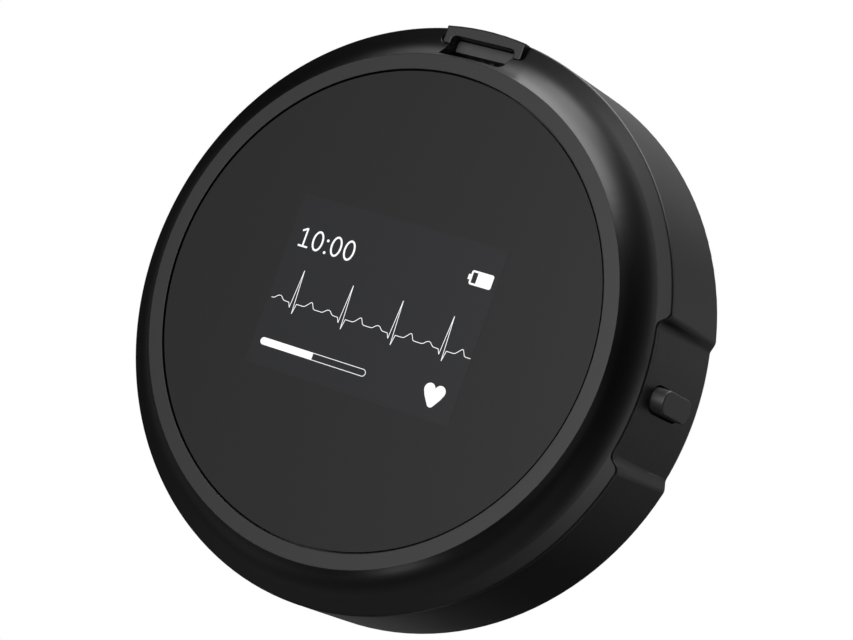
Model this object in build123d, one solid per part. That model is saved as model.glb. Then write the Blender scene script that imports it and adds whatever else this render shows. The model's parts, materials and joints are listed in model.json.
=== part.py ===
"""Disc-shaped heart recorder, lying on its back with its display up.

+Z runs from the back to the front, +X towards the side button and +Y towards the lead port.
The origin is the centre of the back face. Every size is in millimetres, every angle in degrees.
"""

from build123d import *

import os
from math import atan2, cos, degrees, hypot, radians, sin, sqrt, tan

os.makedirs("parts", exist_ok=True)

# Outer form
thickness = 15.8
edge_r = 31.65
edge_drop = 3.82
wall_draft = 0.28
rim_width = 4.15
band_width = 1.35
band_slope = 26.5
edge_round = 0.25
back_round = 0.5
overrun = 5.0

# Side recess that the button stands in
recess_depth_front = 1.15
recess_depth_back = 0.51
recess_floor_half = 7.0
recess_flare = 1.05
recess_floor_round = 0.9
recess_mouth_round = 1.0
mouth_run_share = 3

# Parting between the cover and the housing
parting_drop = 0.3
parting_slope = 18
parting_gap = 0.06

# Cover and its glass
ring_width = 1.7
glass_thickness = 0.8
glass_recess = 0.15
glass_gap = 0.2
adhesive_thickness = 0.15
adhesive_margin = 0.2
ledge_width = 2.0
ledge_thickness = 1.0
skirt_inset = 2.25
skirt_thickness = 3.4
rim_drop = 0.18

# Case gasket and the housing's walls
gasket_thickness = 0.8
gasket_margin = 0.1
shelf_width = 1.2
skirt_gap = 0.1
floor_thickness = 1.5

# Lead port at the top edge
port_half = 3.89
port_depth = 2.55
port_wall = 1.35
port_round = 0.5
port_inner_round = 0.3
port_block_margin = 1.25
lug_leg = 0.98
lug_depth = 2.3
lug_drop = 2.85
lug_edge_round = 0.15
lug_corner_round = 0.3
notch_gap = 0.43
notch_foot_gap = 0.06
notch_round = 0.8
socket_drop = 4.3
socket_gap = 0.1
socket_shelf = 1.35
socket_step_lift = 0.15
socket_base_drop = 0.3
contact_count = 5
contact_pitch = 1.2
contact_width = 0.5
contact_thickness = 0.2
contact_lift = 0.1
contact_tip_drop = 1.7
contact_foot_inset = 1.3
contact_foot_length = 1.0
window_side_gap = 0.55

# Side button, its seal, spring and bracket
button_half_width = 1.3
button_end_margin = 1.275
button_rise = 0.65
button_stand = 0.45
button_edge_round = 0.2
button_gap = 0.2
button_travel = 0.5
pocket_wall = 1.6
pocket_gap = 0.2
flange_gap = 0.05
flange_thickness = 0.8
flange_lip = 1.1
flange_end_inset = 0.675
pin_r = 0.8
pin_reach = 3.6
seal_inset = 1.0
seal_wire_r = 0.25
seal_gap = 0.03
groove_gap = 0.02
bracket_inset = 2.2
bracket_thickness = 0.5
bracket_side_margin = 0.1
bracket_end_inset = 0.1
bracket_corner_round = 0.6
bracket_hole_gap = 0.08
bracket_screw_r = 0.55
bracket_screw_reach = 1.4
bracket_screw_head_r = 1.1
bracket_screw_head = 0.6
pad_inset = 1.3
pad_width = 3.0
pad_lip = 0.2
pad_gap = 0.05
spring_pin_gap = 0.44
spring_wire_r = 0.11
spring_turns = 3
spring_gap = 0.02

# Case screws, their inserts and bosses
boss_inset = 1.86
boss_angle = 40
boss_wall = 0.5
boss_lift = 1.85
boss_web_width = 2.4
boss_web_margin = 0.5
floor_boss_gap = 0.05
counterbore_wall = 0.7
head_gap = 0.2
head_sink = 0.3
case_head_r = 1.9
case_head_thickness = 1.1
case_screw_r = 0.95
case_screw_gap = 0.2
screw_end_gap = 0.35
thread_gap = 0.05
driver_r = 0.8
driver_depth = 0.6
insert_wall = 0.45
insert_gap = 0.05
insert_length = 4.0
insert_groove = 0.15
insert_groove_width = 0.8

# Main board and what stands on it
board_gap = 3.0
board_thickness = 1.0
board_notch_gap = 0.4
standoff_r = 1.9
standoff_inset = 4.7
standoff_angles = (180, 30, -30)
board_screw_r = 0.65
board_screw_reach = 3.0
board_screw_end_gap = 0.2
board_head_r = 1.4
board_head_thickness = 0.8
board_hole_gap = 0.15
processor = (8.0, 8.0, 1.0)
processor_place_shares = (-0.24, 0.16)
memory = (8.0, 10.0, 0.9)
memory_place_shares = (0.32, 0.06)
front_end = (6.0, 6.0, 0.9)
front_end_gap = 0.85
crystal = (3.2, 1.6, 0.8)
crystal_place_shares = (-0.6, 0.32)
capacitor = (0.9, 1.7, 0.8)
capacitor_pitch = 1.8
capacitor_count = 6
capacitor_row_gap = 2.85
chip_bevel = 0.15
beeper_r = 4.0
beeper_place_shares = (-0.5, -0.28)
beeper_headroom = 1.35
beeper_hole_r = 0.9
beeper_hole_depth = 0.6
beeper_round = 0.4

# Switch that the button works
switch_depth = 3.5
switch_half_width = 3.0
switch_height = 2.3
switch_axis_drop = 1.1
plunger_stand = 1.25
plunger_half_width = 1.0
plunger_half_height = 0.6
plunger_gap = 0.05
plunger_depth = 1.0
plunger_rest_gap = 0.2
plunger_bore_gap = 0.08

# Display, its bond, cushion, carrier and flex
panel_side_gap = 1.2
panel_corner_gap = 2.55
panel_flex_ledge = 3.6
panel_glass = 0.7
bond_border = 1.9
bond_end_border = 1.3
bond_thickness = 0.15
cushion_border = 2.3
cushion_thickness = 0.3
carrier_gap = 0.4
carrier_floor = 0.8
carrier_rim = 0.65
carrier_pocket_gap = 0.2
carrier_round = 0.6
stake_r = 0.6
stake_inset = 1.2
stake_angles = (90, 210, 330)
stake_gap = 0.05
stake_head_r = 1.1
stake_head = 0.4
flex_half_width = 4.0
flex_thickness = 0.15
flex_overhang = 1.1
flex_bend_r = 0.7
flex_tail = 2.4
flex_slot_gap = 0.8
connector_side_margin = 1.0
connector_depth = 3.0
connector_height = 1.2
connector_key = 0.5

# Battery, its pad, leads and plug
battery_side_gap = 0.7
battery_corner_gap = 3.2
battery_lead_room = 2.0
battery_headroom = 1.7
battery_round = 1.2
battery_tab_depth = 1.2
battery_tab_drop = 1.0
pad_border = 3.0
pad_thickness = 0.4
lead_wire_r = 0.35
lead_spacing = 1.3
lead_exit_x = -5.0
lead_bend_r = 1.5
lead_drop = 0.4
plug_near_x = -1.2
plug_width = 3.9
plug_inset = 1.4
plug_depth = 3.2
plug_height = 2.2
header_width = 4.6
header_margin = 0.3

# Heights and radii of the case that follow from the sizes above
front_z = thickness
edge_z = front_z - edge_drop
back_r = edge_r + wall_draft
reach = edge_r + overrun
front_ring_r = edge_r - rim_width
band_r = edge_r - band_width
band_z = edge_z + band_width * tan(radians(band_slope))
recess_r_front = edge_r - recess_depth_front
recess_r_back = back_r - recess_depth_back
recess_mouth_half = recess_floor_half + recess_flare
glass_seat_r = front_ring_r - ring_width
glass_r = glass_seat_r - glass_gap
glass_front_z = front_z - glass_recess
glass_z = glass_front_z - glass_thickness
glass_seat_z = glass_z - adhesive_thickness
ledge_r = glass_seat_r - ledge_width
ledge_z = glass_seat_z - ledge_thickness
skirt_r = edge_r - skirt_inset
cover_cavity_r = skirt_r - skirt_thickness
inner_r = skirt_r - shelf_width
rim_z = edge_z - rim_drop
shelf_z = rim_z - gasket_thickness

# Button, bracket and switch
button_z = (shelf_z + floor_thickness) / 2 + button_rise
button_half_length = (shelf_z - floor_thickness) / 2 - button_end_margin
button_face_x = edge_r + button_stand
button_pocket_x = recess_r_front - pocket_wall
flange_outer_x = button_pocket_x - flange_gap
flange_inner_x = flange_outer_x - flange_thickness
flange_half_width = button_half_width + flange_lip
flange_half_length = button_half_length - flange_end_inset
pin_end_x = button_pocket_x - pin_reach
seal_x = button_pocket_x + seal_inset
bracket_outer_x = button_pocket_x - bracket_inset
bracket_inner_x = bracket_outer_x - bracket_thickness
pad_inner_y = flange_half_width + pad_inset
pad_outer_y = pad_inner_y + pad_width
bracket_screw_y = pad_inner_y + pad_width / 2
bracket_half_width = pad_outer_y - bracket_side_margin
bracket_half_height = flange_half_length - bracket_end_inset
pad_half_height = bracket_half_height - pad_lip
spring_mean_r = pin_r + spring_pin_gap + spring_wire_r
switch_face_x = pin_end_x - plunger_gap - plunger_stand

# Screws and bosses
insert_bore_r = case_screw_r + thread_gap
insert_r = insert_bore_r + insert_wall
boss_r = insert_r + insert_gap + boss_wall
boss_end_z = floor_thickness + boss_lift
floor_boss_top_z = boss_end_z - floor_boss_gap
counterbore_r = case_head_r + head_gap
counterbore_depth = case_head_thickness + head_sink
floor_boss_r = counterbore_r + counterbore_wall
boss_x = (cover_cavity_r - boss_inset) * cos(radians(boss_angle))
boss_y = (cover_cavity_r - boss_inset) * sin(radians(boss_angle))
boss_places = [(x, y) for x in (boss_x, -boss_x) for y in (boss_y, -boss_y)]

# Board
board_r = inner_r - board_gap
board_z = button_z + switch_axis_drop
board_top_z = board_z + board_thickness
standoff_places = [
    ((board_r - standoff_inset) * cos(radians(a)), (board_r - standoff_inset) * sin(radians(a)))
    for a in standoff_angles
]
stake_places = [
    ((cover_cavity_r - stake_inset) * cos(radians(a)), (cover_cavity_r - stake_inset) * sin(radians(a)))
    for a in stake_angles
]

# Port, socket and contacts
port_outer_y = edge_r - port_wall
port_inner_y = port_outer_y - port_depth
lug_half = port_half + lug_leg
lug_foot_y = edge_r - lug_depth
lug_z = front_z - lug_drop
notch_half = lug_half + notch_gap
socket_z = front_z - socket_drop
socket_step_y = port_outer_y - socket_shelf
socket_step_z = board_top_z + socket_step_lift
socket_base_z = board_z - socket_base_drop
contact_foot_y = board_r - contact_foot_inset
contact_bend_y = contact_foot_y + contact_foot_length
window_half = (contact_pitch * (contact_count - 1) + contact_width) / 2 + window_side_gap
window_height = contact_thickness + 2 * contact_lift
capacitor_row_y = contact_foot_y - capacitor_row_gap - capacitor[1] / 2
front_end_y = capacitor_row_y - capacitor[1] / 2 - front_end_gap - front_end[1] / 2

# Display
panel_half_width = boss_x - boss_r - panel_side_gap
panel_bottom_y = -sqrt((ledge_r - panel_corner_gap) ** 2 - panel_half_width**2)
panel_top_y = -panel_bottom_y - panel_flex_ledge
panel_z = glass_z - bond_thickness - 2 * panel_glass
panel_step_z = panel_z + panel_glass
cushion_z = panel_z - cushion_thickness
carrier_z = cushion_z - carrier_floor
carrier_r = cover_cavity_r - carrier_gap
flex_out_y = panel_bottom_y - flex_overhang
connector_face_y = flex_out_y + flex_tail
connector_half_width = flex_half_width + connector_side_margin
beeper_height = carrier_z - board_top_z - beeper_headroom

# Battery
battery_half_width = boss_x - floor_boss_r - battery_side_gap
battery_top_y = sqrt((inner_r - battery_corner_gap) ** 2 - battery_half_width**2)
battery_bottom_y = battery_lead_room - battery_top_y
battery_low_z = floor_thickness + pad_thickness
battery_high_z = board_z - battery_headroom
lead_z = battery_high_z - battery_tab_drop - lead_drop
plug_far_y = plug_inset - board_r
plug_near_y = plug_far_y + plug_depth


def rod(radius, low, high, place=(0, 0)):
    """Upright round bar between two heights."""
    bar = Cylinder(radius, high - low, align=(Align.CENTER, Align.CENTER, Align.MIN))
    return Pos(*place, low) * bar


def side_rod(radius, start_x, end_x, y, z):
    """Round bar along X."""
    bar = Cylinder(radius, end_x - start_x, align=(Align.CENTER, Align.CENTER, Align.MIN))
    return Pos(start_x, y, z) * Rot(0, 90, 0) * bar


def block(x, y, z):
    """Box between the pairs of limits x, y and z."""
    size = (x[1] - x[0], y[1] - y[0], z[1] - z[0])
    return Pos(x[0], y[0], z[0]) * Box(*size, align=(Align.MIN, Align.MIN, Align.MIN))


def slab(plan, low, high):
    """A plan outline raised between two heights."""
    return extrude(Pos(0, 0, low) * plan, amount=high - low)


def turned(outline):
    """Solid of revolution of an outline drawn as (radius, height)."""
    return revolve(Plane.XZ * make_face(outline), Axis.Z)


def on_board(shares):
    """A place on the board from its shares of the board's radius."""
    return (shares[0] * board_r, shares[1] * board_r)


def chip(size, place):
    """Chip-like block on the board with bevelled upper edges."""
    body = Pos(*place, board_top_z) * Box(*size, align=(Align.CENTER, Align.CENTER, Align.MIN))
    return chamfer(body.edges().group_by(Axis.Z)[-1], chip_bevel)


def taper(front, back, z):
    """A radius that changes evenly from the back face to the cover's edge."""
    return back + (front - back) * z / edge_z


def parting_height(radius):
    """Height of the cone on which the cover and the housing part."""
    return edge_z - parting_drop + (edge_r - radius) * tan(radians(parting_slope))


def recess_plan(z):
    """Plan of what the side recess removes at a height: a concentric floor and two flaring ramps."""
    wall_r = taper(edge_r, back_r, z)
    floor_r = taper(recess_r_front, recess_r_back, z)
    floor_x = sqrt(floor_r**2 - recess_floor_half**2)
    mouth_x = sqrt(wall_r**2 - recess_mouth_half**2)
    out_x = floor_x + mouth_run_share * (mouth_x - floor_x)
    out_y = recess_floor_half + mouth_run_share * (recess_mouth_half - recess_floor_half)
    plan = Sketch() + make_face(
        [
            ThreePointArc((floor_x, -recess_floor_half), (floor_r, 0), (floor_x, recess_floor_half)),
            Polyline(
                (floor_x, recess_floor_half),
                (out_x, out_y),
                (reach, out_y),
                (reach, -out_y),
                (out_x, -out_y),
                (floor_x, -recess_floor_half),
            ),
        ]
    )
    corners = [v for v in plan.vertices() if abs(v.X - floor_x) < recess_floor_round / 2]
    return (Pos(0, 0, z) * fillet(corners, recess_floor_round)).face()


def make_envelope():
    """Outer form of the closed case: tapered wall, coved front, side recess and rounded edges."""
    low, high = -recess_floor_round, front_z + recess_floor_round
    wall = Cone(
        taper(edge_r, back_r, 0),
        taper(edge_r, back_r, front_z),
        front_z,
        align=(Align.CENTER, Align.CENTER, Align.MIN),
    )
    wall = Rot(0, 0, 180) * wall
    wall -= loft([recess_plan(low), recess_plan(high)], ruled=True)
    slope = radians(band_slope)
    brow = turned(
        [
            Polyline((0, 0), (0, front_z), (front_ring_r, front_z)),
            TangentArc((band_r, band_z), (front_ring_r, front_z), tangent=(-cos(slope), sin(slope))),
            Polyline((band_r, band_z), (reach, edge_z - (reach - edge_r) * tan(slope)), (reach, 0), (0, 0)),
        ]
    )
    form = wall & (Rot(0, 0, 180) * brow)
    near = recess_mouth_round / 2
    mouth = [
        e
        for e in form.edges()
        if all(abs(abs(v.Y) - recess_mouth_half) < near and v.X > 0 for v in e.vertices())
        and abs(e.vertices()[0].Z - e.vertices()[-1].Z) > edge_z / 2
    ]
    form = fillet(mouth, recess_mouth_round)
    brink_z = edge_z - (edge_r - band_r)
    brink = [
        e
        for e in form.edges()
        if all(hypot(v.X, v.Y) > band_r + edge_round / 5 and v.Z > brink_z for v in e.vertices())
    ]
    form = fillet(brink, edge_round)
    sole = [e for e in form.edges() if all(abs(v.Z) < back_round / 5 for v in e.vertices())]
    return fillet(sole, back_round)


def rim_plan(grow):
    """Plan inside the case's sealing line, which steps in around the lead port."""
    half = port_half + port_block_margin - grow
    inner_y = port_inner_y + grow
    step = Pos(0, (inner_y + reach) / 2) * Rectangle(2 * half, reach - inner_y)
    return Circle(skirt_r + grow) - step


def above_parting(lift):
    """Everything over the parting cone, raised by lift."""
    top_z = front_z + overrun
    inner_r = edge_r - (top_z - lift - edge_z + parting_drop) / tan(radians(parting_slope))
    outline = [
        (inner_r, top_z),
        (reach, parting_height(reach) + lift),
        (reach, top_z),
    ]
    return turned(Polyline(*outline, close=True))


def port_plan(inset):
    """Plan of the port's opening, rounded at its corners."""
    height = port_outer_y - port_inner_y - 2 * inset
    plan = Pos(0, (port_outer_y + port_inner_y) / 2) * Rectangle(2 * (port_half - inset), height)
    plan = fillet(plan.vertices().group_by(Axis.Y)[-1], port_round - inset)
    return fillet(plan.vertices().group_by(Axis.Y)[0], port_inner_round - inset)


def make_front_cover(envelope):
    """Ring, cove and edge in one shell, with the glass seat, case bosses and display stakes."""
    region = above_parting(0) + slab(rim_plan(0), rim_z, front_z + overrun)
    cover = envelope & region
    cover -= rod(glass_seat_r, glass_seat_z, front_z + overrun)
    cover -= rod(ledge_r, rim_z - overrun, front_z)
    cover -= rod(cover_cavity_r, rim_z - overrun, ledge_z)
    cover -= slab(port_plan(0), 0, front_z)
    height = reach - lug_foot_y + notch_foot_gap
    notch = Pos(0, lug_foot_y - notch_foot_gap + height / 2) * Rectangle(2 * notch_half, height)
    notch = fillet(notch.vertices().group_by(Axis.Y)[0], notch_round)
    cover -= slab(notch, 0, front_z)
    for x, y in boss_places:
        far = hypot(x, y)
        web = block(
            (0, cover_cavity_r - far + boss_web_margin),
            (-boss_web_width / 2, boss_web_width / 2),
            (rim_z, ledge_z),
        )
        cover += Pos(x, y, 0) * Rot(0, 0, degrees(atan2(y, x))) * web
        cover += rod(boss_r, boss_end_z, ledge_z, (x, y))
        cover -= rod(insert_r + insert_gap, boss_end_z - overrun, boss_end_z + insert_length + boss_r, (x, y))
    for place in stake_places:
        cover += rod(stake_r, carrier_z - stake_head, ledge_z, place)
        cover += rod(stake_head_r, carrier_z - stake_head, carrier_z, place)
    return cover


def make_rear_housing(envelope):
    """Cup with the lug, gasket shelf, button slot, screw bosses and standoffs."""
    plan = Pos(0, (lug_foot_y + reach) / 2) * Rectangle(2 * lug_half, reach - lug_foot_y)
    plan = fillet(plan.vertices().group_by(Axis.Y)[0], lug_corner_round)
    lug = slab((plan & Circle(edge_r)) - port_plan(0), shelf_z, lug_z)
    lug = fillet(lug.edges().group_by(Axis.Z)[-1], lug_edge_round)
    housing = envelope - above_parting(-parting_gap)
    housing -= slab(rim_plan(skirt_gap), shelf_z, front_z + overrun)
    housing += lug
    housing -= slab(rim_plan(-shelf_width), floor_thickness, front_z)
    housing -= slab(port_plan(0), socket_base_z - socket_gap, front_z)
    window = (socket_step_z, socket_step_z + window_height)
    housing -= block((-window_half, window_half), (contact_bend_y, port_inner_y + socket_gap), window)

    pocket_half_width = flange_half_width + pocket_gap
    pocket_half_length = button_half_length + pocket_gap
    housing -= block(
        (pin_end_x, button_pocket_x),
        (-pocket_half_width, pocket_half_width),
        (button_z - pocket_half_length, button_z + pocket_half_length),
    )
    housing -= button_bar(button_gap, pin_end_x, reach)
    for side in (-1, 1):
        limits = sorted((side * pad_inner_y, side * pad_outer_y))
        heights = (button_z - pad_half_height, button_z + pad_half_height)
        housing += block((bracket_outer_x + pad_gap, button_pocket_x), limits, heights)
        screw = (bracket_outer_x, bracket_outer_x + bracket_screw_reach + pad_gap)
        housing -= side_rod(bracket_screw_r + pad_gap, *screw, side * bracket_screw_y, button_z)

    for place in boss_places:
        housing += rod(floor_boss_r, floor_thickness / 2, floor_boss_top_z, place)
        housing -= rod(counterbore_r, -overrun, counterbore_depth, place)
        housing -= rod(case_screw_r + case_screw_gap, 0, front_z / 2, place)
    for place in standoff_places:
        housing += rod(standoff_r, floor_thickness / 2, board_z, place)
        hole_end_z = board_z - board_screw_reach - board_screw_end_gap
        housing -= rod(board_screw_r + thread_gap, hole_end_z, board_z + overrun, place)
    return housing


def make_gasket():
    """Flat seal between the shelf and the cover's rim."""
    plan = rim_plan(-gasket_margin) - rim_plan(gasket_margin - shelf_width)
    return slab(plan, shelf_z, rim_z)


def make_lead_socket():
    """Insert in the port: a shelf with a contact slot beside it."""
    back_y = port_outer_y - socket_gap
    near_y = port_inner_y + socket_gap
    outline = Polyline(
        (near_y, socket_base_z),
        (back_y, socket_base_z),
        (back_y, socket_z),
        (socket_step_y, socket_z),
        (socket_step_y, socket_step_z),
        (near_y, socket_step_z),
        close=True,
    )
    socket = extrude(Plane.YZ * make_face(outline), amount=port_half, both=True)
    return socket & slab(port_plan(socket_gap), socket_base_z, socket_z)


def make_lead_contacts():
    """Bent contact strips from the slot to the board."""
    low = socket_step_z + contact_lift
    high = low + contact_thickness
    foot = board_top_z + contact_thickness
    near_y = socket_step_y - contact_thickness
    outline = Polyline(
        (socket_step_y, socket_z - contact_tip_drop),
        (near_y, socket_z - contact_tip_drop),
        (near_y, high),
        (contact_bend_y, high),
        (contact_bend_y, foot),
        (contact_foot_y, foot),
        (contact_foot_y, board_top_z),
        (contact_bend_y + contact_thickness, board_top_z),
        (contact_bend_y + contact_thickness, low),
        (socket_step_y, low),
        close=True,
    )
    strip = extrude(Plane.YZ * make_face(outline), amount=contact_width / 2, both=True)
    first_x = -contact_pitch * (contact_count - 1) / 2
    return [Pos(first_x + n * contact_pitch, 0, 0) * strip for n in range(contact_count)]


def obround(grow):
    """Button outline across its travel, grown on every side."""
    width = 2 * (button_half_width + grow)
    return Rot(0, 0, 90) * SlotOverall(2 * (button_half_length + grow), width)


def button_bar(grow, start_x, end_x):
    """Bar of the button's outline between two places along X."""
    # The sketch plane has +Y across the button and +Z along its length.
    plane = Plane(origin=(start_x, 0, button_z), x_dir=(0, 1, 0), z_dir=(1, 0, 0))
    return extrude(plane * obround(grow), amount=end_x - start_x)


def make_side_button():
    """Cap and stem in one, with a retaining flange, a seal groove and the pin to the switch."""
    button = button_bar(0, flange_inner_x, button_face_x)
    face = button.edges().group_by(Axis.X)[-1]
    button = fillet(face, button_edge_round)
    groove = seal_wire_r + groove_gap
    depth = 2 * seal_wire_r - (button_gap - seal_gap) + groove_gap
    collar = button_bar(overrun, seal_x - groove, seal_x + groove)
    button -= collar - button_bar(-depth, seal_x - groove, seal_x + groove)
    button += block(
        (flange_inner_x, flange_outer_x),
        (-flange_half_width, flange_half_width),
        (button_z - flange_half_length, button_z + flange_half_length),
    )
    return button + side_rod(pin_r, pin_end_x, flange_inner_x, 0, button_z)


def make_button_seal():
    """Ring of round section in the stem's groove."""
    inset = seal_wire_r - (button_gap - seal_gap)
    plane = Plane(origin=(seal_x, 0, button_z), x_dir=(0, 1, 0), z_dir=(1, 0, 0))
    path = (plane * obround(-inset)).wire()
    section = Plane(origin=path @ 0, z_dir=path % 0) * Circle(seal_wire_r)
    return sweep(section, path=path)


def make_button_bracket():
    """Sheet bracket behind the button: two screw holes and a guide hole for the pin."""
    plane = Plane(origin=(bracket_inner_x, 0, button_z), x_dir=(0, 1, 0), z_dir=(1, 0, 0))
    plan = RectangleRounded(2 * bracket_half_width, 2 * bracket_half_height, bracket_corner_round)
    plan -= Circle(pin_r + bracket_hole_gap)
    for side in (-1, 1):
        plan -= Pos(side * bracket_screw_y, 0) * Circle(bracket_screw_r + 2 * pad_gap)
    return extrude(plane * plan, amount=bracket_thickness)


def make_bracket_screws():
    """Two small screws that hold the bracket on its pads."""
    screws = []
    for side in (-1, 1):
        y = side * bracket_screw_y
        end_x = bracket_outer_x + bracket_screw_reach
        shank = side_rod(bracket_screw_r, bracket_inner_x, end_x, y, button_z)
        head_x = bracket_inner_x - bracket_screw_head
        head = side_rod(bracket_screw_head_r, head_x, bracket_inner_x, y, button_z)
        screws.append(shank + head)
    return screws


def make_button_spring():
    """Return spring around the pin, between the flange and the bracket."""
    start_x = bracket_outer_x + spring_gap + spring_wire_r
    length = flange_inner_x - spring_gap - spring_wire_r - start_x
    helix = Helix(length / spring_turns, length, spring_mean_r)
    section = Plane(origin=helix @ 0, z_dir=helix % 0) * Circle(spring_wire_r)
    coil = sweep(section, path=helix, is_frenet=True)
    return Pos(start_x, 0, button_z) * Rot(0, 90, 0) * coil


def make_switch():
    """Side-acting switch under the board: its case and its plunger."""
    top_z = board_z
    case = block(
        (switch_face_x - switch_depth, switch_face_x),
        (-switch_half_width, switch_half_width),
        (top_z - switch_height, top_z),
    )
    bore_half = (plunger_half_width + plunger_bore_gap, plunger_half_height + plunger_bore_gap)
    case -= block(
        (switch_face_x - plunger_depth - button_travel - plunger_rest_gap, switch_face_x + overrun),
        (-bore_half[0], bore_half[0]),
        (button_z - bore_half[1], button_z + bore_half[1]),
    )
    plunger = block(
        (switch_face_x - plunger_depth, pin_end_x - plunger_gap),
        (-plunger_half_width, plunger_half_width),
        (button_z - plunger_half_height, button_z + plunger_half_height),
    )
    return case, plunger


def make_case_screws():
    """Four screws from the back, with sockets for a driver."""
    screws = []
    for place in boss_places:
        seat_z = counterbore_depth
        head = rod(case_head_r, seat_z - case_head_thickness, seat_z, place)
        socket = Pos(*place) * RegularPolygon(driver_r, 6)
        head -= slab(socket, 0, seat_z - case_head_thickness + driver_depth)
        end_z = boss_end_z + insert_length - screw_end_gap
        screws.append(head + rod(case_screw_r, seat_z, end_z, place))
    return screws


def make_screw_inserts():
    """Four threaded inserts in the cover's bosses, each with a holding groove."""
    low, high = boss_end_z, boss_end_z + insert_length
    middle = (low + high) / 2
    inserts = []
    for place in boss_places:
        sleeve = rod(insert_r, low, high, place)
        ring = (middle - insert_groove_width / 2, middle + insert_groove_width / 2)
        sleeve -= rod(insert_r + overrun, *ring, place) - rod(insert_r - insert_groove, *ring, place)
        inserts.append(sleeve - rod(insert_bore_r, low, high, place))
    return inserts


def make_main_board():
    """Round board, notched round the case bosses and drilled for its screws."""
    board = rod(board_r, board_z, board_top_z)
    for place in boss_places:
        board -= rod(boss_r + board_notch_gap, board_z, board_top_z, place)
    for place in standoff_places:
        board -= rod(board_screw_r + board_hole_gap, board_z, board_top_z, place)
    return board


def make_board_screws():
    """Three screws that hold the board on its standoffs."""
    screws = []
    for place in standoff_places:
        head = rod(board_head_r, board_top_z, board_top_z + board_head_thickness, place)
        screws.append(head + rod(board_screw_r, board_z - board_screw_reach, board_top_z, place))
    return screws


def make_capacitors():
    """Row of small capacitors between the lead contacts and the front-end chip."""
    first_x = -capacitor_pitch * (capacitor_count - 1) / 2
    places = [(first_x + n * capacitor_pitch, capacitor_row_y) for n in range(capacitor_count)]
    return [Pos(*p, board_top_z) * Box(*capacitor, align=(Align.CENTER, Align.CENTER, Align.MIN)) for p in places]


def make_beeper():
    """Round sounder with its sound hole."""
    top_z = board_top_z + beeper_height
    place = on_board(beeper_place_shares)
    can = rod(beeper_r, board_top_z, top_z, place)
    can = fillet(can.edges().group_by(Axis.Z)[-1], beeper_round)
    return can - rod(beeper_hole_r, top_z - beeper_hole_depth, top_z, place)


def make_display_panel():
    """Display glass in two layers, the lower one longer where the flex is bonded."""
    sides = (-panel_half_width, panel_half_width)
    lower = block(sides, (panel_bottom_y, panel_top_y), (panel_z, panel_step_z))
    upper = block(sides, (-panel_top_y, panel_top_y), (panel_step_z, panel_step_z + panel_glass))
    return lower + upper


def display_layer(border, low, high):
    """Flat layer over or under the display, set in from the sides of its glass."""
    half_width = panel_half_width - border
    half_height = panel_top_y - bond_end_border
    return block((-half_width, half_width), (-half_height, half_height), (low, high))


def make_display_carrier():
    """Plate that backs the display, held by stakes under the cover's ledge."""
    rim_top_z = cushion_z + carrier_rim
    carrier = rod(carrier_r, carrier_z, rim_top_z)
    gap = carrier_pocket_gap
    height = panel_top_y - panel_bottom_y + 2 * gap
    middle_y = (panel_top_y + panel_bottom_y) / 2
    pocket = Pos(0, middle_y) * RectangleRounded(2 * (panel_half_width + gap), height, carrier_round)
    carrier -= slab(pocket, cushion_z, rim_top_z)
    slot_half = flex_half_width + flex_slot_gap
    carrier -= block(
        (-slot_half, slot_half),
        (flex_out_y - flex_slot_gap, flex_out_y + flex_slot_gap),
        (carrier_z, rim_top_z),
    )
    for place in boss_places:
        carrier -= rod(boss_r + board_notch_gap, carrier_z, rim_top_z, place)
    for place in stake_places:
        carrier -= rod(stake_r + stake_gap, carrier_z, rim_top_z, place)
    return carrier


def make_display_flex():
    """Flat ribbon from the display's lower edge through the carrier to its connector."""
    high_z = panel_step_z + flex_thickness / 2
    low_z = board_top_z + connector_height / 2
    path = FilletPolyline(
        (-panel_top_y, high_z),
        (flex_out_y, high_z),
        (flex_out_y, low_z),
        (connector_face_y, low_z),
        radius=flex_bend_r,
    )
    strip = trace(path, line_width=flex_thickness)
    clear_y = -panel_top_y - flex_thickness
    ribbon = extrude(Plane.YZ * strip, amount=flex_half_width, both=True)
    return ribbon & block((-reach, reach), (-reach, clear_y), (0, front_z))


def make_flex_connector():
    """Socket for the flex, with its latch bar."""
    sides = (-connector_half_width, connector_half_width)
    far_y = connector_face_y + connector_depth
    body = block(sides, (connector_face_y, far_y), (board_top_z, board_top_z + connector_height))
    top_z = board_top_z + connector_height
    step = block(sides, (far_y - connector_key, far_y), (top_z - connector_key, top_z))
    return body - step


def make_battery():
    """Pouch cell with rounded long edges and its tab strip at the lead end."""
    sides = (-battery_half_width, battery_half_width)
    cell = block(sides, (battery_bottom_y, battery_top_y), (battery_low_z, battery_high_z))
    cell = fillet(cell.edges().filter_by(Axis.Y), battery_round)
    tab_end_y = battery_bottom_y + battery_tab_depth
    return cell - block(sides, (battery_bottom_y, tab_end_y), (battery_high_z - battery_tab_drop, battery_high_z))


def make_battery_pad():
    """Foam between the cell and the floor."""
    sides = (pad_border - battery_half_width, battery_half_width - pad_border)
    ends = (battery_bottom_y + pad_border, battery_top_y - pad_border)
    return block(sides, ends, (floor_thickness, battery_low_z))


def make_battery_leads():
    """Two leads from the cell's tab strip to the plug."""
    leads = {}
    for n, name in enumerate(("battery_lead_plus", "battery_lead_minus")):
        x = lead_exit_x - n * lead_spacing
        turn_y = (plug_near_y + plug_far_y + lead_spacing) / 2 - n * lead_spacing
        path = FilletPolyline(
            (x, battery_bottom_y, lead_z),
            (x, turn_y, lead_z),
            (plug_near_x, turn_y, lead_z),
            radius=lead_bend_r,
        )
        section = Plane(origin=path @ 0, z_dir=path % 0) * Circle(lead_wire_r)
        leads[name] = sweep(section, path=path)
    return leads


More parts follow.
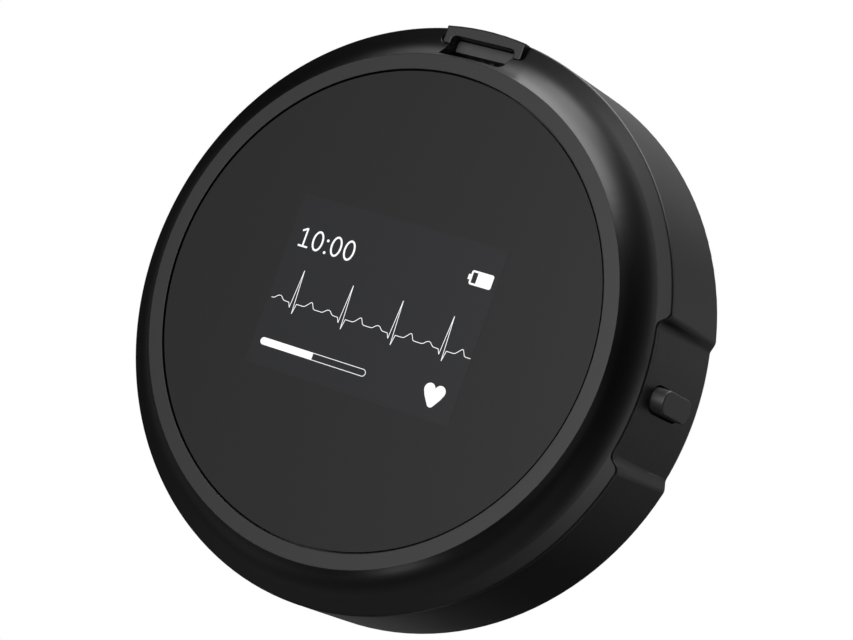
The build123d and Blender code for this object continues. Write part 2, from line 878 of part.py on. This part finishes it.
def make_battery_plug():
    """Plug on the leads, beside the header."""
    heights = (lead_z - plug_height / 2, lead_z + plug_height / 2)
    return block((plug_near_x, plug_near_x + plug_width), (plug_far_y, plug_near_y), heights)


def make_battery_header():
    """Header under the board that the plug goes into."""
    near_x = plug_near_x + plug_width
    low_z = lead_z - plug_height / 2 - header_margin
    sides = (plug_far_y - header_margin, plug_near_y + header_margin)
    return block((near_x, near_x + header_width), sides, (low_z, board_z))


def build():
    """Every node of the object by name."""
    envelope = make_envelope()
    switch_case, switch_plunger = make_switch()
    adhesive = rod(glass_r - adhesive_margin, glass_seat_z, glass_z)
    adhesive -= rod(ledge_r + adhesive_margin, glass_seat_z, glass_z)
    nodes = {
        "front_cover": make_front_cover(envelope),
        "cover_glass": rod(glass_r, glass_z, glass_front_z),
        "glass_adhesive": adhesive,
        "display_bond": display_layer(bond_border, glass_z - bond_thickness, glass_z),
        "display_panel": make_display_panel(),
        "display_cushion": display_layer(cushion_border, cushion_z, panel_z),
        "display_carrier": make_display_carrier(),
        "display_flex": make_display_flex(),
        "flex_connector": make_flex_connector(),
        "case_gasket": make_gasket(),
        "rear_housing": make_rear_housing(envelope),
        "case_screws": make_case_screws(),
        "screw_inserts": make_screw_inserts(),
        "lead_socket": make_lead_socket(),
        "lead_contacts": make_lead_contacts(),
        "side_button": make_side_button(),
        "button_seal": make_button_seal(),
        "button_spring": make_button_spring(),
        "button_bracket": make_button_bracket(),
        "bracket_screws": make_bracket_screws(),
        "switch_case": switch_case,
        "switch_plunger": switch_plunger,
        "main_board": make_main_board(),
        "board_screws": make_board_screws(),
        "processor_chip": chip(processor, on_board(processor_place_shares)),
        "memory_chip": chip(memory, on_board(memory_place_shares)),
        "front_end_chip": chip(front_end, (0, front_end_y)),
        "clock_crystal": chip(crystal, on_board(crystal_place_shares)),
        "board_capacitors": make_capacitors(),
        "beeper": make_beeper(),
        "battery_cell": make_battery(),
        "battery_pad": make_battery_pad(),
        "battery_plug": make_battery_plug(),
        "battery_header": make_battery_header(),
    }
    nodes.update(make_battery_leads())
    return nodes


for name, shape in build().items():
    if isinstance(shape, list):
        shape = Compound(children=[piece.solid() for piece in shape])
    export_step(shape, f"parts/{name}.step")
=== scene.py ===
"""Looks of the round holter monitor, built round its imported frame.

Lengths are in millimetres unless a comment says otherwise, and MM turns them into metres.
Angles are in degrees.
"""

import json
from math import cos, radians, sin

import bpy
import bmesh
from mathutils import Matrix, Vector


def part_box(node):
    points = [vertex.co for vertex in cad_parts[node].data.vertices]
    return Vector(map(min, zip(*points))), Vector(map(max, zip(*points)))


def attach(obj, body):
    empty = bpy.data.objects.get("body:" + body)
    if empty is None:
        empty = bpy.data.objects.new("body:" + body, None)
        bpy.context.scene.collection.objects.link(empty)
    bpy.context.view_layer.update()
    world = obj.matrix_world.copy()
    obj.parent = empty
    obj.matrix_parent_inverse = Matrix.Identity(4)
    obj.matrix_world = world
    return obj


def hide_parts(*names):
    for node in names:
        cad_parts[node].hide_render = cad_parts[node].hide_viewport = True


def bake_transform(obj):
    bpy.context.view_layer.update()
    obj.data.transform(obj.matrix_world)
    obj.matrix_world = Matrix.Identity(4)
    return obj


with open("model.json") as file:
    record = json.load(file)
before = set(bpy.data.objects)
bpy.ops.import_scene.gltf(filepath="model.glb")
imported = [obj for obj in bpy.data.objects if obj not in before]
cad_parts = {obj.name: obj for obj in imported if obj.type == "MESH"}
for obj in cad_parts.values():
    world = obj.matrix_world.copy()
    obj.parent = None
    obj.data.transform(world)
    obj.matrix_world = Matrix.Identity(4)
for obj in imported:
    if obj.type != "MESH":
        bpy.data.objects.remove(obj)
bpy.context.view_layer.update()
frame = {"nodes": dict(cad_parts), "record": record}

MM = 0.001
FRONT_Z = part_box("cover_glass")[1][2] / MM

# Camera
CAMERA_PLACE = (144.1, -20.84, 252.87)
CAMERA_AIM = (6.45, 0.275, 15.8)
CAMERA_ROLL = -62.84
CAMERA_LENS = 113.48
SENSOR_WIDTH = 36
CLIP_START = 10

# Grain of the finishes: its height, its octaves and the part of the noise that varies the gloss
GRAIN_HEIGHT = 0.02
GRAIN_DETAIL = 3
NOISE_SPAN = (0.3, 0.7)
METAL_GRAIN = 6000
METAL_DEPTH = 0.08
METAL_SPREAD = 0.06
GLASS_GRAIN = 4000
GLASS_DEPTH = 0.01
GLASS_SPREAD = 0.01
GLASS_ROUGHNESS = 0.32
GLASS_SPECULAR = 0.29

# Radius of the moulded edges, finer than the solids carry
EDGE_SOFTNESS = 0.12
EDGE_SAMPLES = 4

# Studio, in metres, and how far the floor is under the part, in millimetres
STUDIO_R = 1.2
STUDIO_HEIGHT = 1.6
STUDIO_SEGMENTS = 96
FLOOR_GAP = 0.1

# Display, measured from the middle of the glass
PANEL_HALF = (12.85, 9.45)
PANEL_LIFT = 0.004
PRINT_LIFT = 0.012
PRINT_THICKNESS = 0.01
OUTLINE_DECIMALS = 4

# Digits of the time, from the left; the zeros reach a little past the one
TIME_DIGITS = (
    (-10.95, "one"), (-9.3, "zero"), (-8.1, "colon"), (-6.92, "zero"), (-5.24, "zero"),
)
DIGIT_LOW = 3.82
DIGIT_HIGH = 5.93
DIGIT_STROKE = 0.225
ONE_STROKE = 0.205
ONE_FOOT = (-0.6, 0.62)
ONE_FLAG = ((-0.63, -0.3), (-0.53, -0.48))
ONE_FLAG_ROOT = -0.24
ZERO_HALF_WIDTH = 0.68
ZERO_OVERSHOOT = 0.06
ZERO_STEPS = 40
DOT_R = 0.16
DOT_STEPS = 20
DOTS_Y = (3.915, 5.225)

# Line of the heart's signal, and one beat of it from its peak
TRACE_BASE = -2.17
TRACE_START = -12.43
TRACE_END = 12.73
TRACE_PERIOD = 6.32
TRACE_FIRST_PEAK = -9.61
TRACE_STROKE = 0.072
TRACE_BEAT = (
    (-2.6, 0), (-2.4, 0.08), (-2.15, 0.31), (-1.95, 0.41), (-1.78, 0.43), (-1.6, 0.36),
    (-1.4, 0.15), (-1.2, 0.02), (-0.54, -0.01), (-0.28, -0.53), (0, 3.66), (0.24, -1.1),
    (0.45, 0), (1.3, 0), (1.5, 0.06), (1.8, 0.33), (2.02, 0.57), (2.18, 0.67), (2.3, 0.62),
    (2.45, 0.36), (2.6, 0.08), (2.8, 0),
)

# Progress bar
BAR_LEFT = -11.87
BAR_RIGHT = 1.68
BAR_Y = -6.875
BAR_HEIGHT = 0.805
BAR_FILL_END = -5.13
BAR_LINE = 0.07
BAR_FILL_CORNER = 0.02

# Battery sign: its empty cell ends at BATTERY_CELL from the left, and its nub is at the left
BATTERY_LEFT = 9.54
BATTERY_RIGHT = 12.2
BATTERY_LOW = 5.06
BATTERY_HIGH = 6.6
BATTERY_CORNER = 0.24
BATTERY_WALL = 0.21
BATTERY_CELL = 0.78
BATTERY_CELL_CORNER = 0.03
NUB_REACH = 0.26
NUB_HALF = 0.28
NUB_CORNER = 0.02
NUB_STEPS = 2

# Heart sign: two lobes, each an arc from the notch to its shoulder, and a round tip
HEART_X = 10.08
HEART_TOP = -5.68
HEART_TIP = -8.14
LOBE_R = 0.642
LOBE_APART = 0.625
LOBE_NOTCH = 17
LOBE_SHOULDER = -25
LOBE_STEPS = 18
HEART_SIDE = 0.97
HEART_SIDE_DROP = 0.76
TIP_R = 0.43
TIP_ARC = (222, 318)
TIP_STEPS = 10


def look_up(name):
    """A CAD node's object."""
    return frame["nodes"][name]


def new_material(name):
    """A node material and its main shader."""
    material = bpy.data.materials.new(name)
    material.use_nodes = True
    shader = material.node_tree.nodes["Principled BSDF"]
    return material, shader


def add_grain(material, shader, scale, strength):
    """Fine grain as a bump under a shader; gives its noise and its bump."""
    nodes, links = material.node_tree.nodes, material.node_tree.links
    place = nodes.new("ShaderNodeTexCoord")
    noise = nodes.new("ShaderNodeTexNoise")
    bump = nodes.new("ShaderNodeBump")
    noise.inputs["Scale"].default_value = scale
    noise.inputs["Detail"].default_value = GRAIN_DETAIL
    bump.inputs["Strength"].default_value = strength
    bump.inputs["Distance"].default_value = GRAIN_HEIGHT * MM
    links.new(place.outputs["Object"], noise.inputs["Vector"])
    links.new(noise.outputs["Fac"], bump.inputs["Height"])
    links.new(bump.outputs["Normal"], shader.inputs["Normal"])
    return noise, bump


def vary(material, noise, socket, low, high):
    """Lets a noise move one of the shader's values between two limits."""
    nodes, links = material.node_tree.nodes, material.node_tree.links
    span = nodes.new("ShaderNodeMapRange")
    span.inputs["From Min"].default_value = NOISE_SPAN[0]
    span.inputs["From Max"].default_value = NOISE_SPAN[1]
    span.inputs["To Min"].default_value = low
    span.inputs["To Max"].default_value = high
    links.new(noise.outputs["Fac"], span.inputs["Value"])
    links.new(span.outputs["Result"], socket)


def moulded(name, color, roughness, grain=9000, depth=0.05, spread=0.03, edge=0):
    """Moulded plastic or rubber: fine grain, slightly uneven gloss and, with edge, soft edges."""
    material, shader = new_material(name)
    shader.inputs["Base Color"].default_value = (*color, 1)
    noise, bump = add_grain(material, shader, grain, depth)
    if edge:
        soften = material.node_tree.nodes.new("ShaderNodeBevel")
        soften.samples = EDGE_SAMPLES
        soften.inputs["Radius"].default_value = edge * MM
        material.node_tree.links.new(soften.outputs["Normal"], bump.inputs["Normal"])
    vary(material, noise, shader.inputs["Roughness"], roughness - spread, roughness + spread)
    return material


def smoked_glass(name, color):
    """Dark cover glass with a soft anti-glare face."""
    material = moulded(name, color, GLASS_ROUGHNESS, GLASS_GRAIN, GLASS_DEPTH, GLASS_SPREAD)
    shader = material.node_tree.nodes["Principled BSDF"]
    shader.inputs["Specular IOR Level"].default_value = GLASS_SPECULAR
    return material


def metal(name, color, roughness):
    """Metal with fine drawn or turned marks."""
    material, shader = new_material(name)
    shader.inputs["Base Color"].default_value = (*color, 1)
    shader.inputs["Metallic"].default_value = 1
    noise, _ = add_grain(material, shader, METAL_GRAIN, METAL_DEPTH)
    low, high = roughness - METAL_SPREAD, roughness + METAL_SPREAD
    vary(material, noise, shader.inputs["Roughness"], low, high)
    return material


def lit(name, color, strength):
    """Lit display matter."""
    material, shader = new_material(name)
    shader.inputs["Base Color"].default_value = (0, 0, 0, 1)
    shader.inputs["Roughness"].default_value = 0.5
    shader.inputs["Emission Color"].default_value = (*color, 1)
    shader.inputs["Emission Strength"].default_value = strength
    return material


def make_materials():
    """Every finish by the record's slot."""
    return {
        "case_black": moulded(
            "case_satin_black", (0.0015, 0.0015, 0.0016), 0.36, edge=EDGE_SOFTNESS
        ),
        "glass_black": smoked_glass("glass_smoked", (0.002, 0.002, 0.002)),
        "adhesive_black": moulded("adhesive", (0.01, 0.01, 0.01), 0.6),
        "bond_clear": moulded("bond", (0.6, 0.62, 0.65), 0.1),
        "display_black": moulded("display_glass", (0.01, 0.01, 0.012), 0.1),
        "foam_grey": moulded("foam", (0.12, 0.12, 0.125), 0.9, 3000, 0.4),
        "carrier_grey": moulded("carrier", (0.12, 0.12, 0.125), 0.5),
        "flex_amber": moulded("ribbon", (0.45, 0.2, 0.04), 0.35),
        "connector_ivory": moulded("connector", (0.6, 0.56, 0.45), 0.45),
        "seal_grey": moulded("seal", (0.03, 0.03, 0.032), 0.6),
        "screw_steel": metal("screw", (0.5, 0.5, 0.52), 0.3),
        "insert_brass": metal("insert", (0.75, 0.55, 0.22), 0.3),
        "socket_grey": moulded("socket", (0.034, 0.034, 0.035), 0.45),
        # The contacts' metal is painted dark, a painted shade for the dark slot they sit in; the
        # real contacts are gold.
        "contact_gold": metal("contact", (0.07, 0.065, 0.058), 0.4),
        "button_black": moulded("button_satin", (0.019, 0.019, 0.0194), 0.42),
        "switch_black": moulded("switch", (0.02, 0.02, 0.02), 0.5),
        "plunger_white": moulded("plunger", (0.7, 0.7, 0.7), 0.4),
        "board_green": moulded("board", (0.01, 0.09, 0.035), 0.3),
        "chip_black": moulded("chip", (0.015, 0.015, 0.016), 0.5),
        "crystal_steel": metal("crystal", (0.6, 0.6, 0.6), 0.25),
        "capacitor_brown": moulded("capacitor", (0.3, 0.2, 0.12), 0.5),
        "beeper_black": moulded("beeper", (0.015, 0.015, 0.015), 0.5),
        "cell_silver": metal("pouch", (0.6, 0.61, 0.63), 0.35),
        "lead_red": moulded("lead_red", (0.35, 0.01, 0.01), 0.4),
        "lead_black": moulded("lead_black", (0.01, 0.01, 0.01), 0.4),
    }


def dress_nodes(materials):
    """Gives each CAD node the finish of its slot."""
    for part in frame["record"]["subparts"]:
        node = look_up(part["node"])
        node.data.materials.clear()
        node.data.materials.append(materials[part["material_slot"]])


def make_piece(name, mesh, material, body="case"):
    """Adds a mesh as a piece of the object."""
    piece = bpy.data.objects.new(name, mesh)
    bpy.context.scene.collection.objects.link(piece)
    mesh.materials.append(material)
    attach(piece, body)
    return piece


def make_spring():
    """A copy of the button's dressed spring in its place, with its CAD node hidden."""
    piece = bpy.data.objects.new("return_spring", look_up("button_spring").data.copy())
    bpy.context.scene.collection.objects.link(piece)
    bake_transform(piece)
    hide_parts("button_spring")


def flat_mesh(name, outlines, lift):
    """A thin slab on the glass with the given outlines, joined where they share corners."""
    mesh = bpy.data.meshes.new(name)
    build = bmesh.new()
    low = (FRONT_Z + lift) * MM
    corners, faces = {}, []
    for outline in outlines:
        merged = [tuple(round(value, OUTLINE_DECIMALS) for value in point) for point in outline]
        points = list(dict.fromkeys(merged))
        for x, y in points:
            if (x, y) not in corners:
                corners[x, y] = build.verts.new((x * MM, y * MM, low))
        face = build.faces.new([corners[point] for point in points])
        face.normal_update()
        if face.normal.z < 0:
            face.normal_flip()
        faces.append(face)
    raised = bmesh.ops.extrude_face_region(build, geom=faces)["geom"]
    moved = [item for item in raised if isinstance(item, bmesh.types.BMVert)]
    bmesh.ops.translate(build, verts=moved, vec=(0, 0, PRINT_THICKNESS * MM))
    bmesh.ops.recalc_face_normals(build, faces=build.faces)
    build.to_mesh(mesh)
    build.free()
    return mesh


def arc(x, y, r_x, r_y, start, end, steps):
    """Points of an ellipse's arc, angles in degrees."""
    turns = [radians(start + (end - start) * n / steps) for n in range(steps + 1)]
    return [(x + r_x * cos(a), y + r_y * sin(a)) for a in turns]


def rounded(left, right, low, high, radius, left_radius=None, steps=8):
    """Outline of a rectangle with round corners."""
    r, s = radius, radius if left_radius is None else left_radius
    return (
        arc(right - r, high - r, r, r, 0, 90, steps)
        + arc(left + s, high - s, s, s, 90, 180, steps)
        + arc(left + s, low + s, s, s, 180, 270, steps)
        + arc(right - r, low + r, r, r, 270, 360, steps)
    )


def ring_outlines(outer, inner):
    """Two half rings between two outlines that have as many points."""
    count = len(outer)
    half = count // 2
    first = outer[: half + 1] + inner[: half + 1][::-1]
    second = outer[half:] + outer[:1] + (inner[half:] + inner[:1])[::-1]
    return [first, second]


def stroke(points, width):
    """Outline of a line of even width, mitred at its turns and cut square at the sharp ones."""
    left, right = [], []
    half = width / 2
    for n, point in enumerate(points):
        here = Vector(point)
        before = (here - Vector(points[n - 1])).normalized() if n else None
        after = (Vector(points[n + 1]) - here).normalized() if n + 1 < len(points) else None
        before = before or after
        after = after or before
        sides = [Vector((-way.y, way.x)) for way in (before, after)]
        middle = (sides[0] + sides[1]).normalized()
        reach = half / middle.dot(sides[0])
        for sign, edge in ((1, left), (-1, right)):
            if before.dot(after) < 0 and sign * before.cross(after) < 0:
                edge += [tuple(here + side * half * sign) for side in sides]
            else:
                edge.append(tuple(here + middle * reach * sign))
    return left + right[::-1]


def one_outline(x, low, high, width):
    """A figure one with a flag and a foot."""
    left, right, top = x - width / 2, x + width / 2, low + width
    foot_left, foot_right = (x + reach for reach in ONE_FOOT)
    foot = [(foot_left, low), (foot_right, low), (foot_right, top), (right, top)]
    flag = [(x + across, high + up) for across, up in ONE_FLAG]
    inside = [(left, high + ONE_FLAG_ROOT), (left, top), (foot_left, top)]
    return foot + [(right, high), (left, high)] + flag + inside


def digit_outlines():
    """The time, four digits and a colon."""
    shapes = []
    middle = (DIGIT_LOW + DIGIT_HIGH) / 2
    half = (DIGIT_HIGH - DIGIT_LOW) / 2 + ZERO_OVERSHOOT
    inner_width, inner_half = ZERO_HALF_WIDTH - DIGIT_STROKE, half - DIGIT_STROKE
    for x, kind in TIME_DIGITS:
        if kind == "zero":
            outer = arc(x, middle, ZERO_HALF_WIDTH, half, 0, 360, ZERO_STEPS)[:-1]
            inner = arc(x, middle, inner_width, inner_half, 0, 360, ZERO_STEPS)[:-1]
            shapes += ring_outlines(outer, inner)
        elif kind == "one":
            shapes.append(one_outline(x, DIGIT_LOW, DIGIT_HIGH, ONE_STROKE))
        else:
            shapes += [arc(x, y, DOT_R, DOT_R, 0, 360, DOT_STEPS)[:-1] for y in DOTS_Y]
    return shapes


def trace_points():
    """One line of the heart's signal, the same beat repeated."""
    points = [(TRACE_START, TRACE_BASE)]
    peak = TRACE_FIRST_PEAK
    while peak < TRACE_END:
        beat = [(peak + x, TRACE_BASE + y) for x, y in TRACE_BEAT]
        points += [point for point in beat if TRACE_START < point[0] < TRACE_END]
        peak += TRACE_PERIOD
    return points + [(TRACE_END, TRACE_BASE)]


def heart_outline():
    """A plain heart sign."""
    middle = HEART_TOP - LOBE_R
    shoulder, notch = LOBE_SHOULDER, LOBE_NOTCH
    left_x, right_x = HEART_X - LOBE_APART, HEART_X + LOBE_APART
    left = arc(left_x, middle, LOBE_R, LOBE_R, notch, 180 - shoulder, LOBE_STEPS)
    right = arc(right_x, middle, LOBE_R, LOBE_R, shoulder, 180 - notch, LOBE_STEPS)
    tip = arc(HEART_X, HEART_TIP + TIP_R, TIP_R, TIP_R, *TIP_ARC, TIP_STEPS)
    side_y = middle - HEART_SIDE_DROP
    return right + left + [(HEART_X - HEART_SIDE, side_y)] + tip + [(HEART_X + HEART_SIDE, side_y)]


def bar_outlines():
    """The progress bar: a round-ended frame whose left part is filled."""
    low, high = BAR_Y - BAR_HEIGHT / 2, BAR_Y + BAR_HEIGHT / 2
    r, line = BAR_HEIGHT / 2, BAR_LINE
    outer = rounded(BAR_LEFT, BAR_RIGHT, low, high, r)
    inner = rounded(
        BAR_FILL_END, BAR_RIGHT - line, low + line, high - line, r - line, BAR_FILL_CORNER
    )
    return ring_outlines(outer, inner)


def battery_outlines():
    """A lying battery with one empty cell, and its nub."""
    left, right, low, high = BATTERY_LEFT, BATTERY_RIGHT, BATTERY_LOW, BATTERY_HIGH
    wall, middle = BATTERY_WALL, (low + high) / 2
    outer = rounded(left, right, low, high, BATTERY_CORNER)
    inner = rounded(
        left + wall, left + BATTERY_CELL, low + wall, high - wall, BATTERY_CELL_CORNER
    )
    nub = rounded(
        left - NUB_REACH, left, middle - NUB_HALF, middle + NUB_HALF, NUB_CORNER, steps=NUB_STEPS
    )
    return ring_outlines(outer, inner) + [nub]


def make_sign(name, outlines, material):
    """A lit sign of the display."""
    return make_piece(name, flat_mesh(name, outlines, PRINT_LIFT), material)


def make_display():
    """The lit rectangle and the signs on it."""
    panel_glow = smoked_glass("display_field", (0.005, 0.0055, 0.0075))
    sign_glow = lit("display_signs", (1, 1, 1), 1)
    width, height = PANEL_HALF
    corners = [(-width, -height), (width, -height), (width, height), (-width, height)]
    make_piece("display_field", flat_mesh("display_field", [corners], PANEL_LIFT), panel_glow)
    make_sign("time_digits", digit_outlines(), sign_glow)
    make_sign("heart_trace", [stroke(trace_points(), TRACE_STROKE)], sign_glow)
    make_sign("progress_bar", bar_outlines(), sign_glow)
    make_sign("battery_sign", battery_outlines(), sign_glow)
    make_sign("heart_sign", [heart_outline()], sign_glow)


# Light panels round the object. Each has its name, azimuth, elevation, half-width, half-height,
# softness, all as angles, and strength. The azimuth is counted from +X towards +Y.
LIGHTS = (
    ("overhead", 139, 70, 38, 22, 4, 1),
    ("overhead_rear", 20, 87, 21, 22, 4, 3.1),
    ("side_strip", 94, 10, 9, 7, 4, 6),
    ("side_low", 87, -23, 24, 27, 7, 3.3),
    ("front_panel", -87, 28, 64, 8, 20, 0.4),
    ("front_low", -89, -23, 4, 4, 4, 4),
    ("front_fill", -90, -12, 50, 10, 8, 0.14),
    ("left_low", -159, -32, 37, 31, 4, 0.08),
    ("right_low", -21, -34, 19, 18, 4, 0.48),
    ("ground", 30, -69, 15, 48, 12, 0.36),
    ("rear_low", 122, -32, 14, 21, 4, 0.77),
    ("rear_edge", 90, 54, 4, 16, 4, 6),
)


def panel_axes(azimuth, elevation):
    """Directions to a panel's middle, along its width and along its height."""
    az, el = radians(azimuth), radians(elevation)
    towards = Vector((cos(az) * cos(el), sin(az) * cos(el), sin(el)))
    across = Vector((-sin(az), cos(az), 0))
    return towards, across, towards.cross(across)


def panel_side(tree, view, towards, along, half, soft):
    """How far a view direction is inside a panel along one of its sides, 0 to 1."""
    nodes, links = tree.nodes, tree.links
    depth, offset = nodes.new("ShaderNodeVectorMath"), nodes.new("ShaderNodeVectorMath")
    for dot, axis in ((depth, towards), (offset, along)):
        dot.operation = "DOT_PRODUCT"
        dot.inputs[1].default_value = axis
        links.new(view, dot.inputs[0])
    size, angle = nodes.new("ShaderNodeMath"), nodes.new("ShaderNodeMath")
    size.operation = "ABSOLUTE"
    links.new(offset.outputs["Value"], size.inputs[0])
    angle.operation = "ARCTAN2"
    links.new(size.outputs["Value"], angle.inputs[0])
    links.new(depth.outputs["Value"], angle.inputs[1])
    fall = nodes.new("ShaderNodeMapRange")
    fall.interpolation_type = "SMOOTHSTEP"
    fall.inputs["From Min"].default_value = radians(half + soft)
    fall.inputs["From Max"].default_value = radians(half - soft)
    links.new(angle.outputs["Value"], fall.inputs["Value"])
    return fall.outputs["Result"]


def combine(tree, operation, first, second):
    """Result of a math node on two values."""
    node = tree.nodes.new("ShaderNodeMath")
    node.operation = operation
    for socket, value in zip(node.inputs, (first, second)):
        if isinstance(value, bpy.types.NodeSocket):
            tree.links.new(value, socket)
        else:
            socket.default_value = value
    return node.outputs["Value"]


def make_world():
    """Soft panels far away on a dark ground, seen by the object alone."""
    world = bpy.data.worlds.new("studio")
    bpy.context.scene.world = world
    world.use_nodes = True
    tree = world.node_tree
    background = tree.nodes["Background"]
    view = tree.nodes.new("ShaderNodeTexCoord").outputs["Generated"]
    total = 0
    for _, azimuth, elevation, width, height, soft, strength in LIGHTS:
        towards, across, up = panel_axes(azimuth, elevation)
        wide = panel_side(tree, view, towards, across, width, soft)
        high = panel_side(tree, view, towards, up, height, soft)
        glow = combine(tree, "MULTIPLY", combine(tree, "MULTIPLY", wide, high), strength)
        total = combine(tree, "ADD", total, glow)
    tree.links.new(total, background.inputs["Color"])
    background.inputs["Strength"].default_value = 1


def make_stage():
    """Pale floor, walls and ceiling for the camera alone, see-through from outside and below."""
    material, shader = new_material("studio_floor")
    shader.inputs["Base Color"].default_value = (0, 0, 0, 1)
    shader.inputs["Roughness"].default_value = 1
    shader.inputs["Specular IOR Level"].default_value = 0
    shader.inputs["Emission Color"].default_value = (1, 1, 1, 1)
    shader.inputs["Emission Strength"].default_value = 1
    nodes, links = material.node_tree.nodes, material.node_tree.links
    outside = nodes.new("ShaderNodeNewGeometry")
    clear = nodes.new("ShaderNodeBsdfTransparent")
    either = nodes.new("ShaderNodeMixShader")
    links.new(outside.outputs["Backfacing"], either.inputs["Fac"])
    links.new(shader.outputs["BSDF"], either.inputs[1])
    links.new(clear.outputs["BSDF"], either.inputs[2])
    links.new(either.outputs["Shader"], nodes["Material Output"].inputs["Surface"])
    mesh = bpy.data.meshes.new("floor")
    build = bmesh.new()
    bmesh.ops.create_cone(
        build, cap_ends=True, segments=STUDIO_SEGMENTS,
        radius1=STUDIO_R, radius2=STUDIO_R, depth=STUDIO_HEIGHT,
        matrix=Matrix.Translation((0, 0, STUDIO_HEIGHT / 2 - FLOOR_GAP * MM)),
    )
    bmesh.ops.recalc_face_normals(build, faces=build.faces)
    bmesh.ops.reverse_faces(build, faces=build.faces)
    build.to_mesh(mesh)
    build.free()
    mesh.materials.append(material)
    floor = bpy.data.objects.new("floor", mesh)
    bpy.context.scene.collection.objects.link(floor)
    floor.visible_diffuse = floor.visible_glossy = floor.visible_transmission = False
    floor.visible_shadow = False


def make_camera():
    """Camera at the photograph's place."""
    data = bpy.data.cameras.new("camera")
    data.lens = CAMERA_LENS
    data.sensor_width = SENSOR_WIDTH
    data.clip_start = CLIP_START * MM
    camera = bpy.data.objects.new("camera", data)
    bpy.context.scene.collection.objects.link(camera)
    place = Vector(CAMERA_PLACE) * MM
    aim = Vector(CAMERA_AIM) * MM
    turn = (aim - place).to_track_quat("-Z", "Y").to_matrix()
    roll = Matrix.Rotation(radians(CAMERA_ROLL), 3, "Z")
    camera.matrix_world = Matrix.Translation(place) @ (turn @ roll).to_4x4()
    bpy.context.scene.camera = camera


bpy.context.scene.view_settings.view_transform = "Standard"
make_camera()
make_world()
make_stage()
dress_nodes(make_materials())
make_spring()
make_display()
